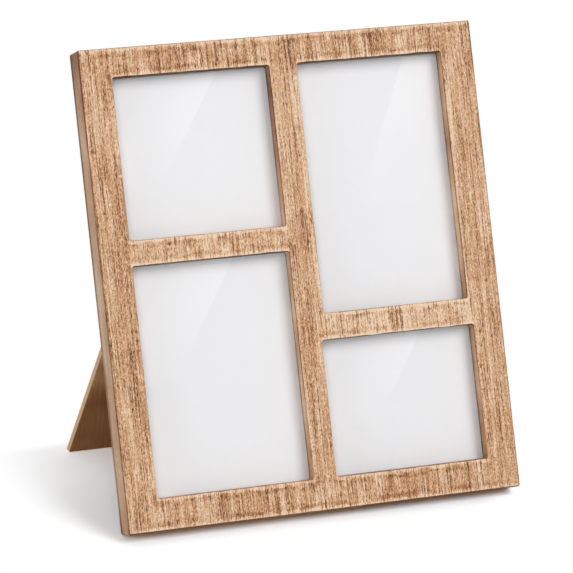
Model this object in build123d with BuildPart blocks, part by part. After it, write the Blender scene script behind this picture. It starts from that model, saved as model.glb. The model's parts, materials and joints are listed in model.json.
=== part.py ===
from build123d import *
from math import cos, radians, sin
import os

# Collage photo frame with four windows, leaning on an easel leg. Sizes in mm.
# "Up" is measured up the leaning face from its bottom edge, "depth" backwards from its front.

# Face of the frame
frame_width = 241.5
frame_height = 280.0
left_window_width = 95.0
lower_left_height = 134.2
lower_right_height = 80.1
window_corner = 1.5
front_ease = 0.9
back_ease = 1.0
corner_beyond_ease = 0.2

# Layers from the front to the back
face_lip = 9.0
glass_thickness = 2.0
print_gap = 0.1
card_thickness = 0.4
pad_thickness = 2.5
panel_thickness = 3.0

# Behind the face, from the outer edge inwards: rim, ledge for the turn buttons, seat for the
# back panel, then the pocket, whose lip laps over the glass. Webs part the pockets.
rim_width = 4.0
ledge_width = 7.0
seat_left = 4.0
seat_top = 2.3
seat_bottom = 3.9
seat_upper_right = 5.1
seat_lower_right = 3.3
upper_centre_web = 9.0
lower_centre_web = 6.0
left_cross_web = 7.0
right_cross_web = 7.9
glass_lap = 4.0
pocket_corner = 1.5
pane_gap = 0.4
ledge_corner = 5.0
panel_corner = 3.0
panel_gap = 0.5

# Turn buttons
button_side_gap = 0.5
button_reach = 12.0
button_thickness = 1.0
button_ease = 0.3
button_gap = 0.15
side_button_from_bottom = 70.0
side_button_from_top = 76.0
end_button_from_side = 60.0
screw_radius = 1.5
screw_depth = 8.0
screw_head_radius = 2.7
screw_head_height = 1.2
screw_slot_width = 0.7
screw_slot_length = 3.2
screw_slot_depth = 0.6
head_below_rim = 0.5
head_round = 0.7
running_gap = 0.06
fixed_gap = 0.02

# Easel leg
lean = 20.4
swing = 35.9
hinge_below_top = 58.0
hinge_spacing = 84.0
leg_thickness = 5.0
leg_top_width = 133.6
leg_foot_width = 235.2
leg_top_corner = 6.0
leg_foot_corner = 1.0
leg_ease = 0.5
folded_gap = 0.5

# Hinges
sheet_thickness = 1.0
bracket_below_pin = 4.0
bracket_corner = 5.0
lug_wall = 2.0
lug_gap = 0.3
leg_to_lug = 0.8
heel_length = 2.5
stop_gap = 0.15
pin_radius = 1.2
pin_head_radius = 2.0
pin_head_height = 0.8
rivet_radius = 1.5
rivet_head_radius = 2.8
rivet_head_height = 1.0
bracket_rivet_up = 10.5
bracket_rivet_spacing = 16.0
bracket_rivet_side = 9.0
bracket_rivet_top = 5.5
leg_rivet_below_edge = 6.0
leg_rivet_spacing = 17.0
leg_rivet_step = 13.5
leg_rivet_end = 6.0

os.makedirs("parts", exist_ok=True)

# Depths of the layers
card_depth = face_lip + glass_thickness + print_gap
pad_depth = card_depth + card_thickness
seat_depth = pad_depth + pad_thickness
panel_back = seat_depth + panel_thickness
head_depth = panel_back + button_thickness + 2 * button_gap
frame_depth = head_depth + screw_head_height + head_below_rim

# The board's corners are a little rounder than its eased edges
frame_corner = max(front_ease, back_ease) + corner_beyond_ease

# Stiles and rails are as wide as what they hold
panel_margin = rim_width + ledge_width
pocket_margin = panel_margin + glass_lap
left_stile = pocket_margin + seat_left
top_rail = pocket_margin + seat_top
bottom_rail = pocket_margin + seat_bottom
upper_right_stile = pocket_margin + seat_upper_right
lower_right_stile = pocket_margin + seat_lower_right
upper_centre_stile = upper_centre_web + 2 * glass_lap
lower_centre_stile = lower_centre_web + 2 * glass_lap
left_cross_rail = left_cross_web + 2 * glass_lap
right_cross_rail = right_cross_web + 2 * glass_lap

# Windows as left, right, bottom and top edges on the face, from its bottom centre
face_left = -frame_width / 2
column_left = face_left + left_stile
column_right = column_left + left_window_width
upper_right_left = column_right + upper_centre_stile
lower_right_left = column_right + lower_centre_stile
upper_right_right = -face_left - upper_right_stile
lower_right_right = -face_left - lower_right_stile
window_top = frame_height - top_rail
lower_left_top = bottom_rail + lower_left_height
lower_right_top = bottom_rail + lower_right_height
windows = {
    "upper_left": (column_left, column_right, lower_left_top + left_cross_rail, window_top),
    "lower_left": (column_left, column_right, bottom_rail, lower_left_top),
    "upper_right": (upper_right_left, upper_right_right, lower_right_top + right_cross_rail, window_top),
    "lower_right": (lower_right_left, lower_right_right, bottom_rail, lower_right_top),
}

# The leg stands on the floor when its heel is on the stop
lean_sin = sin(radians(lean))
lean_cos = cos(radians(lean))
leg_lean = swing - lean
leg_sin = sin(radians(leg_lean))
leg_cos = cos(radians(leg_lean))
hinge_up = frame_height - hinge_below_top
pin_depth = frame_depth + folded_gap + leg_thickness / 2
pin_above_panel = pin_depth - panel_back
lug_radius = pin_radius + lug_wall
leg_top_gap = lug_radius + leg_to_lug

# The frame rests on its eased lower back edge, so that edge sets the height of the face
face_z = frame_depth * lean_sin - back_ease * (lean_cos + lean_sin - 1)
pin_z = face_z + hinge_up * lean_cos - pin_depth * lean_sin
leg_reach = (pin_z - leg_thickness / 2 * leg_sin) / leg_cos
leg_end = (pin_z + leg_thickness / 2 * leg_sin) / leg_cos
pin_behind_face = hinge_up * lean_sin + pin_depth * lean_cos
heel_of_foot = pin_behind_face + leg_end * leg_sin + leg_thickness / 2 * leg_cos
foot_behind_face = heel_of_foot - leg_ease * (1 + leg_sin - leg_cos) / leg_cos
face_ahead = front_ease * (lean_cos + lean_sin - 1)
face_y = -(foot_behind_face + face_ahead) / 2
pin_y = face_y + pin_behind_face

face = Plane(origin=(0, face_y, face_z), x_dir=(1, 0, 0), z_dir=(0, -lean_cos, lean_sin))
out_of_face = Axis((0, 0, 0), (0, -lean_cos, lean_sin))
out_of_leg = Axis((0, 0, 0), (0, leg_cos, leg_sin))


def at_depth(depth):
    return face.offset(-depth)


def leg_plane(outwards):
    # Runs down the leg, looking at it from behind
    start = Vector(0, pin_y, pin_z) + Vector(0, leg_cos, leg_sin) * outwards
    return Plane(origin=start, x_dir=(1, 0, 0), z_dir=(0, leg_cos, leg_sin))


def across_back(x):
    # Square to the pin, with x away from the back and y up the face
    return Plane(origin=(x, pin_y, pin_z), x_dir=(0, lean_cos, -lean_sin), z_dir=(1, 0, 0))


def across_leg(x):
    # Square to the pin, with x out of the leg's back and y up the leg
    return Plane(origin=(x, pin_y, pin_z), x_dir=(0, leg_cos, leg_sin), z_dir=(1, 0, 0))


def save(part, name):
    part.label = name
    export_step(part, f"parts/{name}.step")


def window_rectangle(window, grow, corner):
    left, right, bottom, top = window
    with Locations(((left + right) / 2, (bottom + top) / 2)):
        RectangleRounded(right - left + 2 * grow, top - bottom + 2 * grow, corner)


def rim_rectangle(margin, corner):
    with Locations((0, frame_height / 2)):
        RectangleRounded(frame_width - 2 * margin, frame_height - 2 * margin, corner)


# Turn buttons stand round the ledge and point inwards over the panel
button_width = ledge_width - 2 * button_side_gap
button_span = button_reach - button_width / 2
screw_margin = rim_width + ledge_width / 2
screw_x = frame_width / 2 - screw_margin
button_places = []
for up in (side_button_from_bottom, frame_height - side_button_from_top):
    button_places.append((-screw_x, up, 0))
    button_places.append((screw_x, up, 180))
for x in (face_left + end_button_from_side, -face_left - end_button_from_side):
    button_places.append((x, screw_margin, 90))
    button_places.append((x, frame_height - screw_margin, 270))
screw_points = [(x, up) for x, up, turn in button_places]

# Frame: one board with windows, glass pockets, a panel seat and a sunk ledge for the buttons
with BuildPart() as frame_body:
    with BuildSketch(face):
        rim_rectangle(0, frame_corner)
    extrude(amount=-frame_depth)
    with BuildSketch(face):
        for window in windows.values():
            window_rectangle(window, 0, window_corner)
    extrude(amount=-frame_depth, mode=Mode.SUBTRACT)
    fillet(frame_body.faces().sort_by(out_of_face)[-1].edges(), front_ease)
    fillet(frame_body.faces().sort_by(out_of_face)[0].outer_wire().edges(), back_ease)
    with BuildSketch(at_depth(face_lip)):
        for window in windows.values():
            window_rectangle(window, glass_lap, pocket_corner)
    extrude(amount=-(frame_depth - face_lip), mode=Mode.SUBTRACT)
    with BuildSketch(at_depth(seat_depth)):
        rim_rectangle(panel_margin, panel_corner)
    extrude(amount=-(frame_depth - seat_depth), mode=Mode.SUBTRACT)
    with BuildSketch(at_depth(panel_back)):
        rim_rectangle(rim_width, ledge_corner)
    extrude(amount=-(frame_depth - panel_back), mode=Mode.SUBTRACT)
    with BuildSketch(at_depth(panel_back)):
        with Locations(*screw_points):
            Circle(screw_radius + fixed_gap)
    extrude(amount=screw_depth + fixed_gap, mode=Mode.SUBTRACT)
save(frame_body.part, "frame_body")

# Pane, print and filler pad fill each pocket from the lip to the panel, with a film of air
# between print and glass
layers = {
    "glass": (face_lip, glass_thickness),
    "card": (card_depth, card_thickness),
    "pad": (pad_depth, pad_thickness),
}
for layer, (depth, thickness) in layers.items():
    for place, window in windows.items():
        with BuildPart() as sheet:
            with BuildSketch(at_depth(depth)):
                window_rectangle(window, glass_lap - pane_gap, pocket_corner)
            extrude(amount=-thickness)
        save(sheet.part, f"{layer}_{place}")

# Two hinges share one pin line, each with two rivets in the panel and three in the leg
bracket_width = bracket_rivet_spacing + 2 * bracket_rivet_side
bracket_above_pin = bracket_rivet_up + bracket_rivet_top
leg_rivet_down = leg_top_gap + leg_rivet_below_edge
leg_rivet_lowest = leg_rivet_down + leg_rivet_step
hinge_centres = {"left": -hinge_spacing / 2, "right": hinge_spacing / 2}
bracket_rivet_points = {}
leg_rivet_points = {}
for side, centre in hinge_centres.items():
    bracket_rivet_points[side] = [
        (centre - bracket_rivet_spacing / 2, hinge_up + bracket_rivet_up),
        (centre + bracket_rivet_spacing / 2, hinge_up + bracket_rivet_up),
    ]
    leg_rivet_points[side] = [
        (centre - leg_rivet_spacing / 2, leg_rivet_down),
        (centre + leg_rivet_spacing / 2, leg_rivet_down),
        (centre, leg_rivet_lowest),
    ]
all_bracket_rivets = bracket_rivet_points["left"] + bracket_rivet_points["right"]
all_leg_rivets = leg_rivet_points["left"] + leg_rivet_points["right"]

# Back panel, with the holes of the bracket rivets
with BuildPart() as back_panel:
    with BuildSketch(at_depth(seat_depth)):
        rim_rectangle(panel_margin + panel_gap, panel_corner)
        with Locations(*all_bracket_rivets):
            Circle(rivet_radius + fixed_gap, mode=Mode.SUBTRACT)
    extrude(amount=-panel_thickness)
save(back_panel.part, "back_panel")

# Turn buttons: a round-ended bar with its screw hole at one end
for number, (x, up, turn) in enumerate(button_places, start=1):
    inwards = at_depth(panel_back + button_gap) * Location((x, up, 0), (0, 0, turn))
    with BuildPart() as turn_button:
        with BuildSketch(inwards):
            with Locations((button_span / 2, 0)):
                SlotCenterToCenter(button_span, button_width)
            Circle(screw_radius + running_gap, mode=Mode.SUBTRACT)
        extrude(amount=-button_thickness)
        fillet(turn_button.faces().sort_by(out_of_face)[0].outer_wire().edges(), button_ease)
    save(turn_button.part, f"turn_button_{number}")

# Screws: pan heads with a cross slot, just clear of the buttons
with BuildPart() as turn_button_screws:
    with BuildSketch(at_depth(panel_back - screw_depth)):
        with Locations(*screw_points):
            Circle(screw_radius)
    extrude(amount=-(head_depth - panel_back + screw_depth))
    with BuildSketch(at_depth(head_depth)):
        with Locations(*screw_points):
            Circle(screw_head_radius)
    extrude(amount=-screw_head_height)
    heads = turn_button_screws.faces().group_by(out_of_face)[0]
    fillet(heads.edges(), screw_head_height * head_round)
    with BuildSketch(at_depth(head_depth + screw_head_height)):
        with Locations(*screw_points):
            Rectangle(screw_slot_width, screw_slot_length)
            Rectangle(screw_slot_length, screw_slot_width)
    extrude(amount=screw_slot_depth, mode=Mode.SUBTRACT)
save(turn_button_screws.part, "turn_button_screws")

# Easel leg: a board that widens to its foot, cut flat where it meets the floor
with BuildPart() as easel_leg:
    side_slope = (leg_foot_width - leg_top_width) / 2 / (leg_reach - leg_top_gap)
    top_half = leg_top_width / 2
    foot_half = top_half + side_slope * (leg_end - leg_top_gap)
    with BuildSketch(leg_plane(-leg_thickness / 2)) as outline:
        with BuildLine():
            Polyline(
                (-top_half, leg_top_gap),
                (top_half, leg_top_gap),
                (foot_half, leg_end),
                (-foot_half, leg_end),
                close=True,
            )
        make_face()
        fillet(outline.vertices().group_by(Axis.Y)[0], leg_top_corner)
    extrude(amount=leg_thickness)
    split(bisect_by=Plane.XY, keep=Keep.TOP)
    foot = easel_leg.faces().sort_by(Axis.Z)[0]
    fillet(foot.edges().group_by(SortBy.LENGTH)[0], leg_foot_corner)
    broad_faces = easel_leg.faces().sort_by(out_of_leg)
    fillet(broad_faces[0].edges() + broad_faces[-1].edges(), leg_ease)
    with BuildSketch(leg_plane(-leg_thickness / 2)):
        with Locations(*all_leg_rivets):
            Circle(rivet_radius + fixed_gap)
    extrude(amount=leg_thickness, mode=Mode.SUBTRACT)
save(easel_leg.part, "easel_leg")

# The leg plate's heel comes down flat on the bracket when the leg is open
heel_reach = pin_above_panel - sheet_thickness - stop_gap
swing_sin = sin(radians(swing))
swing_cos = cos(radians(swing))
heel_foot = (-heel_reach * swing_cos, heel_reach * swing_sin)
heel_tip = (heel_foot[0] + heel_length * swing_sin, heel_foot[1] + heel_length * swing_cos)
plate_back = leg_thickness / 2 + sheet_thickness
leg_lug_outside = bracket_width / 2 - sheet_thickness - lug_gap

for side, centre in hinge_centres.items():
    # Bracket on the back panel: a plate with two lugs turned up at its sides
    with BuildPart() as hinge_bracket:
        with BuildSketch(at_depth(panel_back)) as bracket_plate:
            with Locations((centre, hinge_up + (bracket_above_pin - bracket_below_pin) / 2)):
                Rectangle(bracket_width, bracket_above_pin + bracket_below_pin)
            fillet(bracket_plate.vertices().group_by(Axis.Y)[-1], bracket_corner)
            with Locations(*bracket_rivet_points[side]):
                Circle(rivet_radius + fixed_gap, mode=Mode.SUBTRACT)
        extrude(amount=-sheet_thickness)
        for lug_x in (centre - bracket_width / 2, centre + bracket_width / 2 - sheet_thickness):
            with BuildSketch(across_back(lug_x)):
                with Locations((-pin_above_panel / 2, 0)):
                    Rectangle(pin_above_panel, 2 * lug_radius)
                Circle(lug_radius)
                Circle(pin_radius + fixed_gap, mode=Mode.SUBTRACT)
            extrude(amount=sheet_thickness)
    save(hinge_bracket.part, f"hinge_bracket_{side}")

    # Plate on the leg's back, tapering to a round end, with two heeled lugs
    with BuildPart() as hinge_leg_plate:
        with BuildSketch(leg_plane(leg_thickness / 2)):
            with BuildLine():
                Polyline(
                    (centre - leg_lug_outside, -heel_tip[1]),
                    (centre + leg_lug_outside, -heel_tip[1]),
                    (centre + leg_lug_outside, leg_rivet_down),
                    (centre + leg_rivet_end, leg_rivet_lowest),
                )
                ThreePointArc(
                    (centre + leg_rivet_end, leg_rivet_lowest),
                    (centre, leg_rivet_lowest + leg_rivet_end),
                    (centre - leg_rivet_end, leg_rivet_lowest),
                )
                Polyline(
                    (centre - leg_rivet_end, leg_rivet_lowest),
                    (centre - leg_lug_outside, leg_rivet_down),
                    (centre - leg_lug_outside, -heel_tip[1]),
                )
            make_face()
            with Locations(*leg_rivet_points[side]):
                Circle(rivet_radius + fixed_gap, mode=Mode.SUBTRACT)
        extrude(amount=sheet_thickness)
        for lug_x in (centre - leg_lug_outside, centre + leg_lug_outside - sheet_thickness):
            with BuildSketch(across_leg(lug_x)):
                with BuildLine():
                    Polyline(
                        (plate_back, -lug_radius),
                        (plate_back, heel_tip[1]),
                        heel_tip,
                        heel_foot,
                        (0, -lug_radius),
                        close=True,
                    )
                make_face()
                Circle(lug_radius)
                Circle(pin_radius + running_gap, mode=Mode.SUBTRACT)
            extrude(amount=sheet_thickness)
    save(hinge_leg_plate.part, f"hinge_leg_plate_{side}")

    # Pin through all four lugs, headed at both ends
    with BuildPart() as hinge_pin:
        with BuildSketch(across_back(centre)):
            Circle(pin_radius)
        extrude(amount=bracket_width / 2, both=True)
        with BuildSketch(across_back(centre + bracket_width / 2)):
            Circle(pin_head_radius)
        extrude(amount=pin_head_height)
        with BuildSketch(across_back(centre - bracket_width / 2)):
            Circle(pin_head_radius)
        extrude(amount=-pin_head_height)
        ends = hinge_pin.faces().sort_by(Axis.X)
        fillet(ends[0].edges() + ends[-1].edges(), pin_head_height * head_round)
    save(hinge_pin.part, f"hinge_pin_{side}")

# Rivets: domed heads behind, tails set flush in front
with BuildPart() as bracket_rivets:
    with BuildSketch(at_depth(seat_depth)):
        with Locations(*all_bracket_rivets):
            Circle(rivet_radius)
    extrude(amount=-(panel_thickness + sheet_thickness))
    with BuildSketch(at_depth(panel_back + sheet_thickness)):
        with Locations(*all_bracket_rivets):
            Circle(rivet_head_radius)
    extrude(amount=-rivet_head_height)
    domes = bracket_rivets.faces().group_by(out_of_face)[0]
    fillet(domes.edges(), rivet_head_height * head_round)
save(bracket_rivets.part, "bracket_rivets")

with BuildPart() as leg_rivets:
    with BuildSketch(leg_plane(-leg_thickness / 2)):
        with Locations(*all_leg_rivets):
            Circle(rivet_radius)
    extrude(amount=leg_thickness + sheet_thickness)
    with BuildSketch(leg_plane(plate_back)):
        with Locations(*all_leg_rivets):
            Circle(rivet_head_radius)
    extrude(amount=rivet_head_height)
    domes = leg_rivets.faces().group_by(out_of_leg)[-1]
    fillet(domes.edges(), rivet_head_height * head_round)
save(leg_rivets.part, "leg_rivets")
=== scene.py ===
import json
import math
import random

import bmesh
import bpy
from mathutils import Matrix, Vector, kdtree, noise
from mathutils.geometry import delaunay_2d_cdt, intersect_line_plane


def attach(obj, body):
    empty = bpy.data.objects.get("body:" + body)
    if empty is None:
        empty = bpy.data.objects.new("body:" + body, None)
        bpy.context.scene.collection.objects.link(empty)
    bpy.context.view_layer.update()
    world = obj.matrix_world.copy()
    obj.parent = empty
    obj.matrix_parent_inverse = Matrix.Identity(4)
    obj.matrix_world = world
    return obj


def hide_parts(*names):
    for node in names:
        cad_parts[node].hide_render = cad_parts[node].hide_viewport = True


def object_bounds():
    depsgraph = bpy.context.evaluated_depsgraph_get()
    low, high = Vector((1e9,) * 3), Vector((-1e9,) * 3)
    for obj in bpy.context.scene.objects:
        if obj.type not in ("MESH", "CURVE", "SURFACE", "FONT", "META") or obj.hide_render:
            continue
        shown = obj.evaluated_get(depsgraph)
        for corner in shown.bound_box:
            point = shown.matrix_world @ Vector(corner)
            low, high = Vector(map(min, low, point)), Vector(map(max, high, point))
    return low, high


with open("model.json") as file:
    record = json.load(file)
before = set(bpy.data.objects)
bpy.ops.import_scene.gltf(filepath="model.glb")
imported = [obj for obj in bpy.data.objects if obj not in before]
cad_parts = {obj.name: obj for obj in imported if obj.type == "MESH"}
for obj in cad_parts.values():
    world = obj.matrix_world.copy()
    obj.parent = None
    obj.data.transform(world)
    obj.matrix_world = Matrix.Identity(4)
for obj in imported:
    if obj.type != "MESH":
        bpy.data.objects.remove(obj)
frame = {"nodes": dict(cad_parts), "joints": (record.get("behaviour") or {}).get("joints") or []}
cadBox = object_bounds()
nodes = frame["nodes"]
mm = 0.001
touching = 0.001 * mm       # points closer than this are one

# a turn button's screw stands square to the face, so its axis gives the lean of the board
across = Vector((1, 0, 0))
buttonJoint = next(joint for joint in frame["joints"] if joint["name"].startswith("turn_button"))
faceOut = -Vector(buttonJoint["axis"]).normalized()
faceUp = faceOut.cross(across)
lean = math.asin(faceOut.z)


def reachAlong(node, direction):
    return max(vert.co.dot(direction) for vert in nodes[node].data.vertices)


frontPlane = reachAlong("frame_body", faceOut)
boardDepth = frontPlane + reachAlong("frame_body", -faceOut)
boardTop = reachAlong("frame_body", faceUp)
boardFoot = -reachAlong("frame_body", -faceUp)
halfWidth, halfDepth = cadBox[1][:2]


def linear(code):
    channels = [int(code[i:i + 2], 16) / 255 for i in (1, 3, 5)]
    return [c / 12.92 if c <= 0.04045 else ((c + 0.055) / 1.055) ** 2.4 for c in channels] + [1.0]


def addNode(tree, kind, values=None, **settings):
    node = tree.nodes.new(kind)
    for name, value in settings.items():
        setattr(node, name, value)
    for socket, value in (values or {}).items():
        if isinstance(value, bpy.types.Node):       # a node stands for the first output that it offers
            value = next(output for output in value.outputs if output.enabled)
        if isinstance(value, bpy.types.NodeSocket):
            tree.links.new(value, node.inputs[socket])
        else:
            node.inputs[socket].default_value = value
    return node


def newMaterial(name):
    material = bpy.data.materials.new(name)
    material.use_nodes = True
    material.node_tree.nodes.clear()
    return material, material.node_tree


def fillRamp(ramp, stops):
    elements = ramp.color_ramp.elements
    while len(elements) < len(stops):
        elements.new(0.5)
    for element, (place, code) in zip(elements, stops):
        element.position = place
        element.color = linear(code)
    return ramp


def linkObject(name, data):
    made = bpy.data.objects.new(name, data)
    bpy.context.scene.collection.objects.link(made)
    return made


def plainMesh(made):
    # what the modifiers give, as a mesh of the object's own
    plain = bpy.data.meshes.new_from_object(made.evaluated_get(bpy.context.evaluated_depsgraph_get()))
    made.modifiers.clear()
    made.data = plain
    return plain


def smoothFaces(mesh, angle):
    mesh.polygons.foreach_set("use_smooth", [True] * len(mesh.polygons))
    mesh.set_sharp_from_angle(angle=math.radians(angle))


# The routed board: its front is made again with worn edges and a brushed face

board = {
    "wallTilt": 0.02,           # a face this square to the front is a wall
    "edgeStep": 1.1 * mm,       # points along the eased front edges
    "edgeRings": 4,             # steps round them
    "leastWorn": 0.40,          # share of the eased radius where a window's edge is still crisp
    "mostWorn": 1.0,            # and where it is worn, as the board's outer edges are all round
    "wearLength": 9.0 * mm,     # spacing of worn stretches
    "leastChip": 0.005 * mm,
    "chipDepth": 0.20 * mm,
    "chipLength": 2.6 * mm,
    "grainAcross": 1.0 * mm,    # points of the face, across and along the grain
    "grainAlong": 4.0 * mm,
    "firstRow": (0.4, 1.0),     # shares of those two steps by which points are drawn out of line
    "nextRow": (0.8, 1.2),
    "sideways": 0.15,
    "rowsByEdge": (1.0 * mm, 2.0 * mm, 3.2 * mm, 4.6 * mm, 6.2 * mm),
    "edgeClear": 0.7 * mm,
    "samePoint": 1e-7,          # metres between points that the face's net takes for one
    "ripple": 0.05 * mm,        # brushed relief, pressed into the face
    "rippleAcross": 2.4 * mm,
    "rippleAlong": 30.0 * mm,
    "rippleSlice": 0.5,         # where the flat relief is cut out of the noise
    "levelShare": 0.9,          # an edge that runs this much across is a rail's
    "railBlend": 5.0 * mm,      # how far a rail's heavier stain runs out into a stile
    "outerRail": 24.0 * mm,     # rails nearer to the outline than this are the top and bottom ones
    "rightRail": 2.4,           # the cross rail on the right is printed paler
    "underFrom": 0.7,           # share of a face's turn downwards from which it counts as an underside
    "bareInset": 0.4 * mm,
    "bareDepth": 9.5 * mm,
    "smoothAngle": 35,
    "seed": 11,
    # what the finish reads at each point of the mesh
    "marks": ("edgeDistance", "railEdge", "rail", "crossRail", "edgeTurn", "underside", "outerSide", "bare",
              "windowWall", "windowSide"),
}


def marksOf(bm):
    return {name: bm.verts.layers.float[name] for name in board["marks"]}


def findLoops(bm):
    rim = [edge for edge in bm.edges if edge.is_boundary]
    used = set()
    loops = []
    for first in rim:
        if first in used:
            continue
        used.add(first)
        loop = [first.verts[0]]
        ahead = first.verts[1]
        while ahead != loop[0]:
            loop.append(ahead)
            edge = next(e for e in ahead.link_edges if e.is_boundary and e not in used)
            used.add(edge)
            ahead = edge.other_vert(ahead)
        loops.append(loop)
    return loops


def unitNoise(point, length):
    return min(1, max(0, 0.5 + 0.75 * noise.noise(point / length)))     # spread from 0 to 1


def wearEdge(bm, loop, ease, outer):
    # rings from the wall round to the face, on a radius that changes with the wear
    wallOut = []
    for vert in loop:
        out = sum((face.normal for face in vert.link_faces), Vector())
        wallOut.append((out - faceOut * out.dot(faceOut)).normalized())
    leastWorn = board["mostWorn" if outer else "leastWorn"]
    wear = [unitNoise(vert.co, board["wearLength"]) for vert in loop]
    radii = [ease * (leastWorn + (board["mostWorn"] - leastWorn) * w) for w in wear]
    chips = [board["leastChip"] + board["chipDepth"] * w * unitNoise(v.co, board["chipLength"])
             for v, w in zip(loop, wear)]
    rings = [loop]
    mark = marksOf(bm)
    for step in range(board["edgeRings"] + 1):
        angle = math.pi / 2 * step / board["edgeRings"]
        ring = []
        for vert, out, radius, chip in zip(loop, wallOut, radii, chips):
            centre = vert.co + faceOut * (ease - radius) - out * radius
            spoke = out * math.cos(angle) + faceOut * math.sin(angle)
            made = bm.verts.new(centre + spoke * (radius - chip * math.sin(2 * angle)))
            made[mark["edgeTurn"]] = step / board["edgeRings"]
            made[mark["underside"]] = max(0, -out.dot(faceUp))
            made[mark["outerSide" if outer else "windowSide"]] = abs(out.x)
            ring.append(made)
        rings.append(ring)
    for low, high in zip(rings, rings[1:]):
        for i in range(len(loop)):
            j = (i + 1) % len(loop)
            bm.faces.new((low[i], low[j], high[j], high[i]))
    return rings[-1]


def facePlace(vert):
    return Vector((vert.co.x, vert.co.dot(faceUp)))


def loopBox(loop):
    places = [facePlace(vert) for vert in loop]
    low = Vector((min(p.x for p in places), min(p.y for p in places)))
    high = Vector((max(p.x for p in places), max(p.y for p in places)))
    return low, high


def insideLoop(point, outline):
    inside = False
    for a, b in zip(outline, outline[1:] + outline[:1]):
        if (a.y > point.y) != (b.y > point.y):
            if point.x < a.x + (point.y - a.y) * (b.x - a.x) / (b.y - a.y):
                inside = not inside
    return inside


def woodSpans(x, outer, windows):
    # the stretches of wood that a line up the face at x passes through
    clear = board["edgeClear"]
    spans = []
    start = outer[0].y
    for low, high in sorted(windows, key=lambda box: box[0].y):
        if low.x - clear < x < high.x + clear:
            spans.append((start, low.y))
            start = high.y
    spans.append((start, outer[1].y))
    return spans


def facePoints(outer, windows):
    draw = random.Random(board["seed"])
    wide, tall = board["grainAcross"], board["grainAlong"]
    side = board["sideways"]
    last = board["rowsByEdge"][-1]
    points = []
    x = outer[0].x + wide
    while x < outer[1].x - board["edgeClear"]:
        for low, high in woodSpans(x, outer, windows):
            rows = [low + d for d in board["rowsByEdge"]] + [high - d for d in board["rowsByEdge"]]
            up = low + last + tall * draw.uniform(*board["firstRow"])
            while up < high - last - board["firstRow"][0] * tall:
                rows.append(up)
                up += tall * draw.uniform(*board["nextRow"])
            points += [Vector((x + draw.uniform(-side, side) * wide, row)) for row in rows]
        x += wide
    return points


def fillFace(bm, loops):
    rim = [vert for loop in loops for vert in loop]
    edges = []
    for loop in loops:
        start = rim.index(loop[0])
        edges += [(start + i, start + (i + 1) % len(loop)) for i in range(len(loop))]
    boxes = [loopBox(loop) for loop in loops]
    outer = max(boxes, key=lambda box: box[1].x - box[0].x)
    windows = [box for box in boxes if box is not outer]
    points = facePoints(outer, windows)
    places = [facePlace(vert) for vert in rim] + points
    grid = delaunay_2d_cdt(places, edges, [], 1, board["samePoint"])

    verts = list(rim)
    turned = marksOf(bm)["edgeTurn"]
    for point in points:
        made = bm.verts.new(across * point.x + faceUp * point.y + faceOut * frontPlane)
        made[turned] = 1
        verts.append(made)
    source = [original[0] for original in grid[3]]
    outlines = [([facePlace(vert) for vert in loop], box)
                for loop, box in zip(loops, boxes) if box is not outer]
    for triangle in grid[2]:
        corners = [source[i] for i in triangle]
        middle = (places[corners[0]] + places[corners[1]] + places[corners[2]]) / 3
        hole = any(low.x < middle.x < high.x and low.y < middle.y < high.y and insideLoop(middle, outline)
                   for outline, (low, high) in outlines)
        if not hole:
            bm.faces.new([verts[i] for i in corners])
    return verts, windows, outer


def markFace(bm, loops, verts, windows, outer):
    # distances in millimetres that the finish reads: to any edge, and to a rail's own edges
    rim = [vert.co.copy() for loop in loops for vert in loop]
    level = []
    for loop in loops:
        for i, vert in enumerate(loop):
            along = loop[(i + 1) % len(loop)].co - loop[i - 1].co
            if abs(along.x) > board["levelShare"] * along.length:
                level.append(vert.co.copy())
    mark = marksOf(bm)
    finders = {"edgeDistance": rim, "railEdge": level}
    for name, points in finders.items():
        tree = kdtree.KDTree(len(points))
        for i, point in enumerate(points):
            tree.insert(point, i)
        tree.balance()
        for vert in verts:
            vert[mark[name]] = tree.find(vert.co)[2] / mm
    for vert in verts:
        inset = max(min(vert.co.x - low.x, high.x - vert.co.x) for low, high in windows)
        rail = min(1, max(0, 0.5 + inset / board["railBlend"]))
        vert[mark["rail"]] = rail
        up = facePlace(vert).y
        if min(up - outer[0].y, outer[1].y - up) > board["outerRail"]:
            vert[mark["crossRail"]] = rail * (board["rightRail"] if vert.co.x > 0 else 1)


def markBare(bm):
    # the film stops at the back edge, and behind the panes the board is bare
    mark = marksOf(bm)
    reach = reachAlong("frame_body", across)
    for vert in bm.verts:
        up = vert.co.dot(faceUp)
        inset = min(reach - abs(vert.co.x), up - boardFoot, boardTop - up)
        depth = frontPlane - vert.co.dot(faceOut)
        inner = inset > board["bareInset"]
        bare = inner and depth > board["bareDepth"]
        wall = float(inner) - float(bare)
        down = max(-face.normal.dot(faceUp) for face in vert.link_faces)
        vert[mark["bare"]] = float(bare)
        vert[mark["windowWall"]] = wall
        vert[mark["windowSide"]] = wall * max(abs(face.normal.x) for face in vert.link_faces)
        vert[mark["outerSide"]] = float(reach - abs(vert.co.x) < board["bareInset"])
        vert[mark["underside"]] = max(0, (down - board["underFrom"]) / (1 - board["underFrom"]))


def pressRipple(bm, verts):
    edge = marksOf(bm)["edgeDistance"]
    for vert in verts:
        place = facePlace(vert)
        place = Vector((place.x / board["rippleAcross"], place.y / board["rippleAlong"],
                        board["rippleSlice"]))
        vert.co -= faceOut * board["ripple"] * unitNoise(place, 1) * min(1, vert[edge])


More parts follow.
